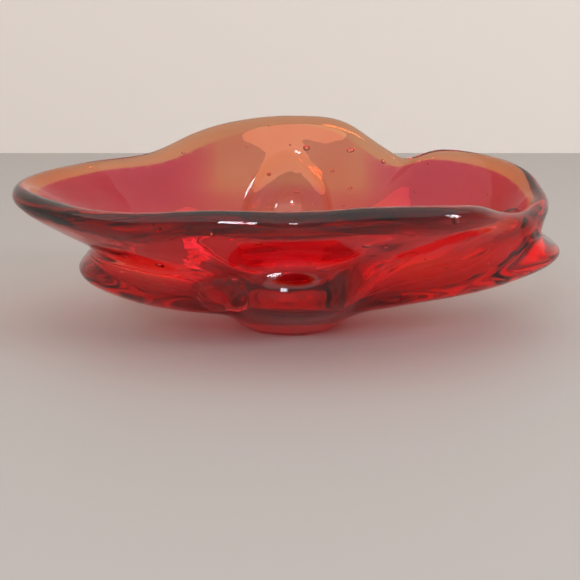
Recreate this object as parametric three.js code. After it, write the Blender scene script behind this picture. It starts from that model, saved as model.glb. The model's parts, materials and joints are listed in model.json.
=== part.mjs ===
// Freeform art glass bowl, hot worked from two gathers of glass. Millimetres, +Z up.
// The origin is the centre of the ground flat that the bowl stands on. +X runs along the longest way across
// the rim, and -Y is the low, steep side of the bowl.

import * as THREE from "three";

// The bottom of the bowl, the same all round. Each pair is [distance from the axis, height].
const bottom = { flatEdge: [22, 0], foot: [39, 11] };
const wellFloor = { centre: 15, edge: [16, 15.5], heel: [29, 22] };

// Four pockets were blown out of the well, and four pinches were pressed in between them.
// Azimuths are in degrees from +X. skin is the outside of the glass and well is the inside, each climbing
// through the underside, the belly and the crease below the brim. A higher sharpness makes a narrower pocket.
const pockets = [
  { azimuth: 0, skin: [[112, 28], [133, 38.5], [129, 49]], well: [[80, 29.5], [103, 38.5], [108, 51]], sharpness: 1 },
  { azimuth: 90, skin: [[53, 17], [85.5, 47], [76, 73]], well: [[46, 23], [78.5, 49], [68, 75.5]], sharpness: 2.8 },
  { azimuth: 180, skin: [[84, 17.5], [104.5, 30], [96, 41]], well: [[77, 24], [94, 32.5], [86, 46]], sharpness: 0.9 },
  { azimuth: 272, skin: [[48, 16], [58, 28], [51, 42]], well: [[37, 23], [46.5, 31], [41, 46.5]], sharpness: 0.8 },
];
const pinches = [
  { azimuth: 48, skin: [[44, 18], [53, 28], [66, 42]], well: [[34, 25], [43, 35], [57, 50]] },
  { azimuth: 139, skin: [[44, 17], [52, 26], [64, 40]], well: [[34, 24], [41, 33], [55, 48]] },
  { azimuth: 236, skin: [[45, 16], [51, 23], [61, 33]], well: [[33, 24], [39, 31], [49, 40]] },
  { azimuth: 309, skin: [[47, 17], [55, 26], [69, 41]], well: [[33, 24], [39, 32], [51, 46]] },
];
const pinchRounding = 0.22;

// The longest pocket was nicked at its tip with the jacks, where its crease was pressed in
const nick = { azimuth: 0, depth: 9.5, spread: 13 };

// The outer edge of the rim as it was pulled out: [azimuth, distance from the axis, height]
const rimPoints = [
  [0, 125, 56.5],
  [16, 127, 65.5],
  [32, 120, 69],
  [43, 107, 70],
  [48, 98, 64],
  [56, 94, 71],
  [70, 88, 86],
  [88, 86, 89],
  [107, 86, 87.3],
  [124, 93, 80],
  [139, 101, 69],
  [156, 119, 66],
  [180, 132.5, 61],
  [205, 113, 57.5],
  [224, 103, 58],
  [245, 89, 59.8],
  [270, 83, 58.8],
  [294, 92, 61.3],
  [314, 103, 60.8],
  [335, 109, 58.3],
  [350, 120, 57],
];
const rimBead = { thickness: 10.5, heavierInFront: 2 };
const brimShare = 0.55;

// The ruby gather lines the well and stops short of the rolled rim, which is all casing.
// linerEnd and rebate are shares of the climb from the bottom to the rim.
const linerWall = 2.2;
const layerGap = 0.35;
const linerEnd = 0.95;
const rebate = 0.015;

// Facets of the model
const meridiansPerStation = 10;
const climbRows = 15;
const rimRows = 5;

// The two glasses
const amberGlass = new THREE.MeshStandardMaterial({ color: 0xd0602c, roughness: 0.06, metalness: 0 });
const rubyGlass = new THREE.MeshStandardMaterial({ color: 0x8a1020, roughness: 0.06, metalness: 0 });

const wrapDegrees = (degrees) => ((degrees % 360) + 360) % 360;
const mix = (a, b, share) => a.map((value, i) => THREE.MathUtils.lerp(value, b[i], share));

const placeAt = (azimuth, [reach, height]) => {
  const angle = THREE.MathUtils.degToRad(azimuth);
  return new THREE.Vector3(reach * Math.cos(angle), reach * Math.sin(angle), height);
};

// The rim's edge at any azimuth, read from a smooth closed curve through its points
const rimSteps = 1440;
const rimCurve = new THREE.CatmullRomCurve3(
  rimPoints.map(([azimuth, ...pair]) => placeAt(azimuth, pair)),
  true,
  "centripetal",
);
const rimTable = rimCurve
  .getPoints(rimSteps)
  .slice(0, rimSteps)
  .map((p) => ({
    azimuth: wrapDegrees(THREE.MathUtils.radToDeg(Math.atan2(p.y, p.x))),
    pair: [Math.hypot(p.x, p.y), p.z],
  }))
  .sort((a, b) => a.azimuth - b.azimuth);

// The two neighbours of an azimuth in a sorted list that closes on itself, and how far it is between them
const neighbours = (list, azimuth) => {
  const found = list.findIndex((item) => item.azimuth > azimuth);
  const after = found < 0 ? 0 : found;
  const from = list[(after + list.length - 1) % list.length];
  const to = list[after];
  const span = wrapDegrees(to.azimuth - from.azimuth);
  return { from, to, share: wrapDegrees(azimuth - from.azimuth) / span };
};

const rimAt = (azimuth) => {
  const { from, to, share } = neighbours(rimTable, azimuth);
  return mix(from.pair, to.pair, share);
};

// The body at any azimuth swells from a pinch to the pocket beside it
const stations = [...pockets, ...pinches].sort((a, b) => a.azimuth - b.azimuth);
const swellOf = (climb) => {
  const arch = Math.sin((climb * Math.PI) / 2);
  return (Math.hypot(arch, pinchRounding) - pinchRounding) / (Math.hypot(1, pinchRounding) - pinchRounding);
};
const nickAt = (azimuth) => {
  const away = wrapDegrees(azimuth - nick.azimuth + 180) - 180;
  return nick.depth * Math.exp(-((away / nick.spread) ** 2));
};
const bodyAt = (side, azimuth) => {
  const { from, to, share } = neighbours(stations, azimuth);
  const leaving = pinches.includes(from);
  const [pinch, pocket] = leaving ? [from, to] : [to, from];
  const swell = swellOf(leaving ? share : 1 - share) ** pocket.sharpness;
  const body = pinch[side].map((pair, i) => mix(pair, pocket[side][i], swell));
  if (side === "skin") {
    body[2][0] -= nickAt(azimuth);
  }
  return body;
};

// The inner edge of the rim faces the outer one across the thickness of the brim
const rimThicknessAt = (azimuth) =>
  rimBead.thickness - rimBead.heavierInFront * Math.sin(THREE.MathUtils.degToRad(azimuth));
const innerRimAt = (azimuth) => {
  const [, , crease] = bodyAt("skin", azimuth);
  const rim = rimAt(azimuth);
  const slope = new THREE.Vector2(rim[0] - crease[0], rim[1] - crease[1]).setLength(rimThicknessAt(azimuth));
  return [rim[0] - slope.y, rim[1] + slope.x];
};

// At each azimuth a side of the glass climbs from the bottom to the rim along one smooth curve
const curveFor = {
  skin: (azimuth) => [bottom.flatEdge, bottom.foot, ...bodyAt("skin", azimuth), rimAt(azimuth)],
  well: (azimuth) => [wellFloor.edge, wellFloor.heel, ...bodyAt("well", azimuth), innerRimAt(azimuth)],
};
const climbs = new Map();
const climbAt = (side, azimuth) => {
  const turned = wrapDegrees(azimuth);
  const key = `${side} ${turned}`;
  if (!climbs.has(key)) {
    const stops = curveFor[side](turned);
    const [crease, rim] = stops.slice(-2);
    stops.splice(-1, 0, mix(crease, rim, brimShare));
    const along = stops.map((pair) => placeAt(turned, pair));
    climbs.set(key, new THREE.CatmullRomCurve3(along, false, "centripetal"));
  }
  return climbs.get(key);
};

// The way from the well into the glass, square to the inside surface
const slopeStep = 0.004;
const turnStep = 0.5;
const intoGlass = (azimuth, share) => {
  const curve = climbAt("well", azimuth);
  const up = curve.getPoint(Math.min(share + slopeStep, 1)).sub(curve.getPoint(Math.max(share - slopeStep, 0)));
  const ahead = climbAt("well", azimuth + turnStep).getPoint(share);
  const round = ahead.sub(climbAt("well", azimuth - turnStep).getPoint(share));
  return round.cross(up).normalize();
};

// The meridians are spaced evenly between stations, so that one runs along each pinch and each pocket
const azimuths = stations.flatMap((from, i) => {
  const span = wrapDegrees(stations[(i + 1) % stations.length].azimuth - from.azimuth);
  return Array.from({ length: meridiansPerStation }, (_, j) => from.azimuth + (span * j) / meridiansPerStation);
});
const meridians = azimuths.length;
const skinRing = (share) => azimuths.map((azimuth) => climbAt("skin", azimuth).getPoint(share));
const wellRing = (share, depth) =>
  azimuths.map((azimuth) => {
    const way = intoGlass(azimuth, share);
    return climbAt("well", azimuth).getPoint(share).addScaledVector(way, depth);
  });
const centreRing = (height) => azimuths.map(() => new THREE.Vector3(0, 0, height));

// Rings from the centre of the bottom out to a share of the climb
const climbShares = (end) => Array.from({ length: climbRows + 1 }, (_, i) => (end * i) / climbRows);
const skinRings = () => [centreRing(0), ...climbShares(1).map(skinRing)];
const wellRings = (depth) => {
  const rings = climbShares(linerEnd).map((share) => wellRing(share, depth));
  return [centreRing(wellFloor.centre - depth), ...rings];
};

// The rolled rim: half a round from the outer skin over to the inside
const rimRings = () => {
  const below = skinRing(1 - slopeStep);
  const outside = skinRing(1);
  const inside = wellRing(1, 0);
  return Array.from({ length: rimRows - 1 }, (_, row) => {
    const turn = (Math.PI * (row + 1)) / rimRows;
    return outside.map((edge, i) => {
      const half = edge.clone().sub(inside[i]).multiplyScalar(0.5);
      const middle = inside[i].clone().add(half);
      const onward = edge.clone().sub(below[i]).projectOnPlane(half.clone().normalize()).setLength(half.length());
      return middle.addScaledVector(half, Math.cos(turn)).addScaledVector(onward, Math.sin(turn));
    });
  });
};

// A closed body from rings of equal count: a lathe gives the faces, and the rings give their places.
// Rings that start on the inside of a body come out facing inwards, and are turned to face out.
const bodyFrom = (rings, startsInside = false) => {
  const profile = rings.map((_, i) => new THREE.Vector2(i === 0 || i === rings.length - 1 ? 0 : 1, i));
  const geometry = new THREE.LatheGeometry(profile, meridians);
  const positions = geometry.getAttribute("position");
  for (let i = 0; i <= meridians; i += 1) {
    rings.forEach((ring, j) => {
      const p = ring[i % meridians];
      positions.setXYZ(i * rings.length + j, p.x, p.y, p.z);
    });
  }
  if (startsInside) {
    const corners = geometry.getIndex();
    for (let i = 0; i < corners.count; i += 3) {
      const [second, third] = [corners.getX(i + 1), corners.getX(i + 2)];
      corners.setX(i + 1, third);
      corners.setX(i + 2, second);
    }
  }
  geometry.computeVertexNormals();
  return geometry;
};

const casing = () => {
  const backing = linerWall + layerGap;
  const lipStart = linerEnd + rebate;
  const lip = [wellRing(1, 0), wellRing((1 + lipStart) / 2, 0), wellRing(lipStart, 0)];
  const inside = [...wellRings(backing), wellRing(lipStart, backing)].reverse();
  return bodyFrom([...skinRings(), ...rimRings(), ...lip, ...inside]);
};

// The lining starts from its inside, so that its facets split along the same diagonals as the casing behind it
const liner = () => bodyFrom([...wellRings(0), ...wellRings(linerWall).reverse()], true);

const bowl = new THREE.Group();
const addPiece = (name, geometry, material) => {
  const mesh = new THREE.Mesh(geometry, material);
  mesh.name = name;
  bowl.add(mesh);
};
addPiece("outer_casing", casing(), amberGlass);
addPiece("ruby_inner_gather", liner(), rubyGlass);

export default bowl;
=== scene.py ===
# Art glass bowl, hand pulled in the hot shop: a thick amber casing over a ruby gather, with four pockets
# and four pinches between them
import json
import math

import bpy
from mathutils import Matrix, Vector
from mathutils.bvhtree import BVHTree

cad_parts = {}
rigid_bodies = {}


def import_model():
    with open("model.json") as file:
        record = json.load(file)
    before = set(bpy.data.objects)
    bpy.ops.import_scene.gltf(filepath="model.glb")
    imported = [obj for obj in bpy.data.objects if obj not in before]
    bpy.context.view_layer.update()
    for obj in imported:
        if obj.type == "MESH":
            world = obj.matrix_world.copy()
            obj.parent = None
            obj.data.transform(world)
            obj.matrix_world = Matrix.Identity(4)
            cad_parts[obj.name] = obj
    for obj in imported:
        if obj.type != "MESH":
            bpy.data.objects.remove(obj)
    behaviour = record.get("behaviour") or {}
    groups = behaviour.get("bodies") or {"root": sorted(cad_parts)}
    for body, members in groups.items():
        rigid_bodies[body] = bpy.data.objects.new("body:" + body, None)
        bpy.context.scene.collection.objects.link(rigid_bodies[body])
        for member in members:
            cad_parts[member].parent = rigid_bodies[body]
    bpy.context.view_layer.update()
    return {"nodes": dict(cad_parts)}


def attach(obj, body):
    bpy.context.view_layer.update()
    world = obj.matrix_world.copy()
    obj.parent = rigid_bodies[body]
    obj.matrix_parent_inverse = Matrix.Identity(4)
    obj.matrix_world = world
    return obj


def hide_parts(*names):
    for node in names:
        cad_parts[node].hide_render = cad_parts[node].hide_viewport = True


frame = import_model()

mm = 0.001


def deselectAll():
    if bpy.context.mode != "OBJECT":
        bpy.ops.object.mode_set(mode="OBJECT")
    bpy.ops.object.select_all(action="DESELECT")


def takeUp(piece):
    deselectAll()
    piece.select_set(True)
    bpy.context.view_layer.objects.active = piece


def openMesh(piece, mode="FACE"):
    takeUp(piece)
    bpy.ops.object.mode_set(mode="EDIT")
    bpy.ops.mesh.select_mode(type=mode)
    bpy.ops.mesh.select_all(action="DESELECT")


def pickFaces(piece, wanted):
    openMesh(piece)
    bpy.ops.object.mode_set(mode="OBJECT")
    for face in piece.data.polygons:
        face.select = bool(wanted(face))
    bpy.ops.object.mode_set(mode="EDIT")


def pickEdges(piece, wanted):
    openMesh(piece, "EDGE")
    bpy.ops.object.mode_set(mode="OBJECT")
    for edge in piece.data.edges:
        edge.select = bool(wanted([piece.data.vertices[i].co for i in edge.vertices]))
    bpy.ops.object.mode_set(mode="EDIT")


def applyAll(piece):
    takeUp(piece)
    for modifier in list(piece.modifiers):
        bpy.ops.object.modifier_apply(modifier=modifier.name)


def addModifier(piece, kind, **settings):
    modifier = piece.modifiers.new(kind.title(), kind)
    for name, value in settings.items():
        setattr(modifier, name, value)
    return modifier


def weldedCopy(node, name):
    piece = bpy.data.objects.new(name, frame["nodes"][node].data.copy())
    bpy.context.scene.collection.objects.link(piece)
    piece.data.materials.clear()
    openMesh(piece)
    bpy.ops.mesh.select_all(action="SELECT")
    bpy.ops.mesh.remove_doubles(threshold=0.02 * mm)
    deselectAll()
    return piece


def surfaceOf(piece):
    vertices = [v.co.copy() for v in piece.data.vertices]
    return BVHTree.FromPolygons(vertices, [tuple(f.vertices) for f in piece.data.polygons])


class Signal:
    def __init__(self, recipe, socket):
        self.recipe = recipe
        self.socket = socket

    def math(self, operation, first, second=0.0):
        return self.recipe.node("ShaderNodeMath", {"operation": operation}, {0: first, 1: second})

    def __add__(self, other):
        return self.math("ADD", self, other)

    def __radd__(self, other):
        return self.math("ADD", other, self)

    def __mul__(self, other):
        return self.math("MULTIPLY", self, other)

    def __rmul__(self, other):
        return self.math("MULTIPLY", other, self)


class Recipe:
    def __init__(self, name):
        self.material = bpy.data.materials.new(name)
        self.material.use_nodes = True
        self.tree = self.material.node_tree
        self.tree.nodes.clear()

    def node(self, kind, settings=None, values=None, output=0):
        made = self.tree.nodes.new(kind)
        for name, value in (settings or {}).items():
            setattr(made, name, value)
        for key, value in (values or {}).items():
            if isinstance(value, Signal):
                self.tree.links.new(value.socket, made.inputs[key])
            else:
                made.inputs[key].default_value = value
        return Signal(self, made.outputs[output])

    def remap(self, value, fromLow, fromHigh, toLow, toHigh):
        ends = {"Value": value, "From Min": fromLow, "From Max": fromHigh, "To Min": toLow, "To Max": toHigh}
        return self.node("ShaderNodeMapRange", {"clamp": True}, ends)

    def finish(self, surface, volume=None):
        ends = {"Surface": surface}
        if volume:
            ends["Volume"] = volume
        made = self.tree.nodes.new("ShaderNodeOutputMaterial")
        for key, value in ends.items():
            self.tree.links.new(value.socket, made.inputs[key])
        return self.material


bowlShape = {
    "layerReach": 4 * mm,  # the two layers face each other closer than this, inside the glass
    "poleFill": 20,  # squares along each side of the patches at the foot and the floor of the well
    "smoothing": 2,
    "waveSize": 34 * mm,  # slow waves left by the tools
    "waveDepth": 1.1 * mm,
    "groundHeight": 8 * mm,  # the ground flat stays flat, and the waves reach full depth this far above it
}


def strippedLayer(node, name, otherSurface):
    piece = weldedCopy(node, name)
    pickFaces(piece, lambda face: otherSurface.ray_cast(face.center, face.normal, bowlShape["layerReach"])[0])
    bpy.ops.mesh.delete(type="FACE")
    bpy.ops.object.mode_set(mode="OBJECT")
    lowest = min(face.center.z for face in piece.data.polygons)
    pickFaces(piece, lambda face: face.center.z <= lowest + 0.01 * mm)
    bpy.ops.mesh.select_linked()
    bpy.ops.mesh.select_all(action="INVERT")
    bpy.ops.mesh.delete(type="FACE")
    deselectAll()
    return piece


def onAxis(place):
    return place.xy.length < 0.5 * mm


# The fans of thin triangles on the axis make way for even grids
def refillPoles(piece):
    for height in sorted({round(v.co.z, 6) for v in piece.data.vertices if onAxis(v.co)}):
        pole = next(v.index for v in piece.data.vertices if onAxis(v.co) and abs(v.co.z - height) < 0.01 * mm)
        fan = {i for face in piece.data.polygons if pole in face.vertices for i in face.vertices}
        reach = max(piece.data.vertices[i].co.xy.length for i in fan) + 0.01 * mm
        top = max(piece.data.vertices[i].co.z for i in fan) + 0.01 * mm
        pickFaces(piece, lambda face: pole in face.vertices)
        bpy.ops.mesh.delete(type="FACE")
        low = height - 0.01 * mm
        pickEdges(piece, lambda ends: all(p.xy.length < reach and low < p.z < top for p in ends))
        bpy.ops.mesh.fill_grid(span=bowlShape["poleFill"])
        deselectAll()


# The end of the front left fold was left as a round nub
foldEnd = {"place": (-30 * mm, -46 * mm, 27 * mm), "tip": 2.5 * mm, "pull": 5 * mm, "spread": 9 * mm}


def pullNub(piece):
    spot, outward, _, _ = surfaceOf(piece).find_nearest(Vector(foldEnd["place"]))
    pickFaces(piece, lambda face: (face.center - spot).length < foldEnd["tip"])
    bpy.ops.transform.translate(
        value=outward * foldEnd["pull"],
        use_proportional_edit=True,
        use_proportional_connected=True,
        proportional_edit_falloff="SPHERE",
        proportional_size=foldEnd["spread"],
    )
    deselectAll()


def bowlGlass():
    casing = weldedCopy("outer_casing", "casingCopy")
    gather = weldedCopy("ruby_inner_gather", "gatherCopy")
    glass = strippedLayer("outer_casing", "bowl_glass", surfaceOf(gather))
    inside = strippedLayer("ruby_inner_gather", "bowlInside", surfaceOf(casing))
    for spare in (casing, gather):
        bpy.data.objects.remove(spare)
    takeUp(glass)
    inside.select_set(True)
    bpy.ops.object.join()
    openMesh(glass, "EDGE")
    bpy.ops.mesh.select_non_manifold()
    bpy.ops.mesh.bridge_edge_loops()
    deselectAll()
    refillPoles(glass)
    openMesh(glass)
    bpy.ops.mesh.select_all(action="SELECT")
    bpy.ops.mesh.tris_convert_to_quads(face_threshold=math.pi, shape_threshold=math.pi)
    bpy.ops.mesh.normals_make_consistent(inside=False)
    deselectAll()
    addModifier(glass, "SUBSURF", levels=bowlShape["smoothing"], render_levels=bowlShape["smoothing"])
    applyAll(glass)
    keepOff = glass.vertex_groups.new(name="hotWorked")
    for vertex in glass.data.vertices:
        keepOff.add([vertex.index], min(1.0, vertex.co.z / bowlShape["groundHeight"]), "REPLACE")
    waves = bpy.data.textures.new("toolWaves", "CLOUDS")
    waves.noise_scale = bowlShape["waveSize"]
    waves.noise_depth = 1
    addModifier(
        glass,
        "DISPLACE",
        texture=waves,
        texture_coords="LOCAL",
        strength=bowlShape["waveDepth"],
        mid_level=0.5,
        vertex_group="hotWorked",
    )
    applyAll(glass)
    pullNub(glass)
    takeUp(glass)
    bpy.ops.object.shade_smooth()
    return glass


glass = bowlGlass()
print("bowl glass welded,", len(glass.data.polygons), "faces")


gatherShape = {
    "setIn": 0.4 * mm,  # how far its inside lies under the surface of the well
    "thickness": 3.2 * mm,
    "thinnest": 0.06,
    "fadeBelowEdge": 2.5 * mm,  # it thins to nothing over this much of the wall
    "bottomHeights": (26 * mm, 40 * mm),  # it lies thickest over the bottom, below these heights
    "wallShare": 0.9,
    "palingHeights": (34 * mm, 60 * mm),  # it was drawn thin where the tall lobe was pulled up
    "palingDepths": (22 * mm, 52 * mm),
    "palingWidths": (38 * mm, 66 * mm),
    "pocketReach": (34 * mm, 58 * mm),  # and blown thin in the two long pockets, up to these heights
    "pocketHeights": (46 * mm, 58 * mm),
    "pocketShare": 0.2,
}


def between(value, low, high):
    return min(1.0, max(0.0, (value - low) / (high - low)))


def rubyGather():
    casing = weldedCopy("outer_casing", "casingCopy")
    piece = strippedLayer("ruby_inner_gather", "ruby_gather", surfaceOf(casing))
    bpy.data.objects.remove(casing)
    refillPoles(piece)
    openMesh(piece)
    bpy.ops.mesh.select_all(action="SELECT")
    bpy.ops.mesh.tris_convert_to_quads(face_threshold=math.pi, shape_threshold=math.pi)
    bpy.ops.mesh.select_mode(type="EDGE")
    bpy.ops.mesh.select_all(action="DESELECT")
    bpy.ops.mesh.select_non_manifold()
    deselectAll()
    edge = [v.co.copy() for v in piece.data.vertices if v.select]
    addModifier(piece, "SUBSURF", levels=2, render_levels=2)
    applyAll(piece)
    spread = piece.vertex_groups.new(name="gatherThickness")
    for vertex in piece.data.vertices:
        below = min((vertex.co - place).length for place in edge) / gatherShape["fadeBelowEdge"]
        fade = min(1.0, below) ** 1.5
        rise = between(vertex.co.z, *gatherShape["bottomHeights"])
        wanted = fade * (1 - rise * (1 - gatherShape["wallShare"]))
        tall = between(vertex.co.z, *gatherShape["palingHeights"])
        tall *= between(vertex.co.y, *gatherShape["palingDepths"])
        tall *= 1 - between(abs(vertex.co.x), *gatherShape["palingWidths"])
        outward = math.hypot(vertex.co.x, max(0.0, vertex.co.y))
        pocketed = between(outward, *gatherShape["pocketReach"])
        pocketed *= 1 - between(vertex.co.z, *gatherShape["pocketHeights"])
        wanted *= (1 - tall) * (1 - pocketed * (1 - gatherShape["pocketShare"]))
        spread.add([vertex.index], wanted, "REPLACE")
    openMesh(piece)
    bpy.ops.mesh.select_all(action="SELECT")
    bpy.ops.transform.shrink_fatten(value=-gatherShape["setIn"])
    deselectAll()
    addModifier(
        piece,
        "SOLIDIFY",
        thickness=gatherShape["thickness"],
        offset=-1,
        vertex_group="gatherThickness",
        thickness_vertex_group=gatherShape["thinnest"],
    )
    applyAll(piece)
    takeUp(piece)
    bpy.ops.object.shade_smooth()
    return piece


ruby = rubyGather()
print("ruby gather made,", len(ruby.data.polygons), "faces")

# Air seeds: (azimuth, dip, share of the way through the wall, length in mm, height in mm).
# Their directions are from a lookout point over the middle of the well.
seeds = {
    "lookoutHeight": 55 * mm,
    "places": [
        (130, 13, 0.53, 2.7, 1.6),
        (100, 8, 0.5, 2.7, 1.8),
        (98, 23, 0.57, 1.6, 1.2),
        (108, 17, 0.5, 1.6, 1.2),
        (83, 17, 0.47, 3.8, 3.2),
        (66, 15, 0.51, 4.6, 2.7),
        (55, 10, 0.52, 2.2, 3.0),
        (71, 9, 0.47, 2.1, 1.6),
        (87, -1, 0.5, 3.2, 1.3),
        (62, 2, 0.48, 2.7, 1.6),
        (39, 1, 0.52, 1.6, 1.6),
        (42, 8, 0.56, 3.6, 1.6),
        (20, 1, 0.5, 2.1, 1.6),
        (90, 18, 0.47, 1.2, 1.1),
        (62, -6, 0.47, 1.2, 1.1),
        (222, -9, 0.8, 5.3, 3.9),
        (260, 2, 0.75, 3.3, 1.7),
        (244, -20, 0.8, 4.0, 1.8),
        (219, -22, 0.7, 1.4, 1.0),
        (211, -40, 0.79, 2.8, 1.2),
        (246, 5, 0.5, 1.2, 1.2),
        (280, -14, 0.6, 2.7, 1.0),
        (268, 0, 0.5, 1.2, 0.9),
        (295, 0, 0.85, 5.6, 3.4),
        (301, -1, 0.85, 2.5, 2.1),
        (313, 6, 0.85, 5.0, 3.6),
        (319, -7, 0.8, 1.4, 1.0),
        (326, -10, 0.7, 1.8, 1.3),
        (333, -8, 0.8, 1.1, 1.0),
        (336, -29, 0.68, 2.3, 1.4),
        (340, -34, 0.43, 3.2, 1.5),
        (290, -68, 0.8, 1.0, 1.0),
        (323, -58, 0.3, 1.4, 1.0),
        (211, -56, 0.33, 2.2, 3.2),
    ],
}


def airSeed(name, place, length, height, turn):
    deselectAll()
    bpy.ops.mesh.primitive_uv_sphere_add(segments=20, ring_count=12, radius=height / 2, location=place)
    seed = bpy.context.object
    seed.name = name
    openMesh(seed)
    bpy.ops.mesh.select_all(action="SELECT")
    bpy.ops.transform.resize(value=(length / height, 1, 1), center_override=place)
    bpy.ops.transform.rotate(value=turn, orient_axis="Z", center_override=place)
    deselectAll()
    takeUp(seed)
    bpy.ops.object.transform_apply(location=True, rotation=True, scale=True)
    bpy.ops.object.shade_smooth()
    return seed


def airSeeds():
    surface = surfaceOf(glass)
    lookout = Vector((0, 0, seeds["lookoutHeight"]))
    made = []
    for i, (azimuth, dip, share, length, height) in enumerate(seeds["places"]):
        around, down = math.radians(azimuth), math.radians(dip)
        flat = math.cos(down)
        way = Vector((flat * math.cos(around), flat * math.sin(around), math.sin(down)))
        near = surface.ray_cast(lookout, way)[0]
        far = surface.ray_cast(near + way * 0.1 * mm, way)[0]
        place = near.lerp(far, share)
        made.append(airSeed(f"seed_{i + 1}", place, length * mm, height * mm, around + math.pi / 2))
    deselectAll()
    for seed in made:
        seed.select_set(True)
    bpy.context.view_layer.objects.active = made[0]
    bpy.ops.object.join()
    made[0].name = "air_seeds"
    return made[0]


air = airSeeds()
print("air seeds made")


# Absorption is per metre of glass, for red, green and blue
amber = {
    "ior": 1.5,
    "absorb": (2, 105, 200),
    "smudgeScale": 45,
    "smudge": 0.05,  # faint handling marks on the polished surface
    "groundHeights": (0.3 * mm, 1.1 * mm),  # the flat it stands on was ground, and is scuffed
    "ground": (0.25, 0.5),
    "scuffScale": 420,
    "cordScale": 55,
    "cordDepth": 0.25 * mm,
    "paleTint": (1, 0.97, 0.93, 1),
}
rubyTint = {
    "ior": 1.0,  # it lies inside the casing glass and only tints it
    "absorb": (58, 880, 190),
    "cordScale": 30,
    "cordDepth": 0.2 * mm,
    "smudgeScale": 60,
    "smudge": 0.03,
    "paleTint": (1, 0.9, 0.9, 1),
}


def cloudy(recipe, spot, scale, detail):
    return recipe.node("ShaderNodeTexNoise", {}, {"Vector": spot, "Scale": scale, "Detail": detail})


def blownMaterial(name, shape, ground=False):
    recipe = Recipe(name)
    spot = recipe.node("ShaderNodeTexCoord", output=3)
    cords = cloudy(recipe, spot, shape["cordScale"], 2.0)
    smudges = cloudy(recipe, spot, shape["smudgeScale"], 5.0)
    polish = recipe.remap(smudges, 0.5, 0.75, 0.0, shape["smudge"])
    if ground:
        height = recipe.node("ShaderNodeSeparateXYZ", {}, {"Vector": spot}, output=2)
        scuffs = cloudy(recipe, spot, shape["scuffScale"], 3.0)
        scuffed = recipe.remap(scuffs, 0.35, 0.65, *shape["ground"])
        polish = polish + scuffed * recipe.remap(height, *shape["groundHeights"], 1.0, 0.0)
    bump = {"Height": cords, "Strength": 1.0, "Distance": shape["cordDepth"]}
    tint = recipe.node(
        "ShaderNodeMix",
        {"data_type": "RGBA"},
        {0: recipe.remap(cords, 0.35, 0.65, 0.0, 1.0), 6: (1, 1, 1, 1), 7: shape["paleTint"]},
        output=2,
    )
    densest = max(shape["absorb"])
    soaked = [1 - value / densest for value in shape["absorb"]] + [1]
    values = {
        "Base Color": tint,
        "IOR": shape["ior"],
        "Transmission Weight": 1.0,
        "Roughness": polish,
        "Normal": recipe.node("ShaderNodeBump", {}, bump),
    }
    surface = recipe.node("ShaderNodeBsdfPrincipled", {}, values)
    volume = recipe.node("ShaderNodeVolumeAbsorption", {}, {"Color": soaked, "Density": densest})
    return recipe.finish(surface, volume)


trappedAir = {"frostScale": 900, "frost": 0.12}


def airMaterial():
    recipe = Recipe("trappedAir")
    spot = recipe.node("ShaderNodeTexCoord", output=3)
    frost = recipe.node("ShaderNodeTexNoise", {}, {"Vector": spot, "Scale": trappedAir["frostScale"]})
    roughness = recipe.remap(frost, 0.45, 0.7, 0.0, trappedAir["frost"])
    surface = recipe.node("ShaderNodeBsdfGlass", {}, {"Roughness": roughness, "IOR": 1 / amber["ior"]})
    return recipe.finish(surface)


glass.data.materials.append(blownMaterial("amberCasingGlass", amber, ground=True))
ruby.data.materials.append(blownMaterial("rubyGatherGlass", rubyTint))
air.data.materials.append(airMaterial())
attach(air, "root")
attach(glass, "root")
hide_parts("outer_casing")
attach(ruby, "root")
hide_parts("ruby_inner_gather")

stage = {
    "floorSize": 6,
    "wallDistance": 0.68,
    "floor": (0.42, 0.395, 0.365, 1),
    "wall": (0.80, 0.73, 0.66, 1),
}


def plainMaterial(name, colour):
    recipe = Recipe(name)
    surface = recipe.node("ShaderNodeBsdfPrincipled", {}, {"Base Color": colour, "Roughness": 0.6})
    return recipe.finish(surface)


deselectAll()
bpy.ops.mesh.primitive_plane_add(size=stage["floorSize"], location=(0, 0, -0.2 * mm))
floor = bpy.context.object
floor.name = "floor"
floor.data.materials.append(plainMaterial("paleFloor", stage["floor"]))
deselectAll()
wallPlace = (0, stage["wallDistance"], 0)
bpy.ops.mesh.primitive_plane_add(size=stage["floorSize"], location=wallPlace, rotation=(math.pi / 2, 0, 0))
wall = bpy.context.object
wall.name = "backdrop"
wall.data.materials.append(plainMaterial("creamWall", stage["wall"]))


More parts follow.
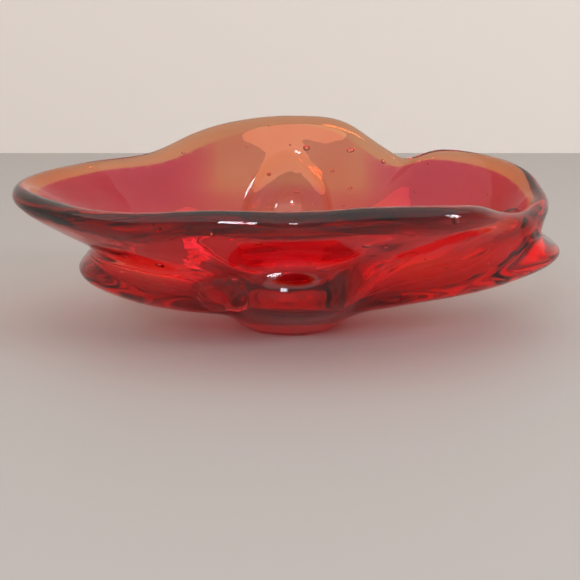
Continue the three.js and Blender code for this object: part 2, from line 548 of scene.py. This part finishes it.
def areaLight(name, place, size, power, colour):
    lamp = bpy.data.lights.new(name, "AREA")
    lamp.shape = "RECTANGLE"
    lamp.size, lamp.size_y = size
    lamp.energy = power
    lamp.color = colour
    holder = bpy.data.objects.new(name, lamp)
    bpy.context.scene.collection.objects.link(holder)
    holder.location = place
    holder.rotation_euler = (Vector((0, 0, 0.03)) - Vector(place)).to_track_quat("-Z", "Y").to_euler()


areaLight("ceilingLight", (-0.1, 0.0, 1.5), (5, 5), 60, (1, 0.95, 0.95))
windowPane = {"size": (0.13, 0.19), "gap": 0.03, "power": 2.0, "colour": (0.82, 0.9, 1)}


def window(name, place, panes=(2, 2)):
    facing = (Vector((0, 0, 0.03)) - Vector(place)).normalized()
    side = facing.cross(Vector((0, 0, 1))).normalized()
    up = side.cross(facing)
    width, height = windowPane["size"]
    for column in range(panes[0]):
        for row in range(panes[1]):
            across = (column - (panes[0] - 1) / 2) * (width + windowPane["gap"])
            rise = (row - (panes[1] - 1) / 2) * (height + windowPane["gap"])
            spot = Vector(place) + side * across + up * rise
            pane = f"{name}_{column}_{row}"
            areaLight(pane, tuple(spot), windowPane["size"], windowPane["power"], windowPane["colour"])


window("windowRight", (1.25, -0.55, 0.62))
window("windowBehind", (-0.35, -1.5, 0.75))
world = bpy.data.worlds.new("room")
bpy.context.scene.world = world
world.use_nodes = True
world.node_tree.nodes["Background"].inputs["Color"].default_value = (1, 0.93, 0.9, 1)
world.node_tree.nodes["Background"].inputs["Strength"].default_value = 0.46

view = {"place": (0, -0.555, 0.154), "tilt": 13.85, "lens": 72}
cameraData = bpy.data.cameras.new("camera")
cameraData.lens = view["lens"]
cameraData.sensor_width = 36
camera = bpy.data.objects.new("camera", cameraData)
bpy.context.scene.collection.objects.link(camera)
camera.location = view["place"]
camera.rotation_euler = (math.radians(90 - view["tilt"]), 0, 0)
bpy.context.scene.camera = camera
scene = bpy.context.scene
scene.cycles.max_bounces = 32
scene.cycles.transmission_bounces = 32
scene.cycles.glossy_bounces = 32
scene.view_settings.view_transform = "Standard"
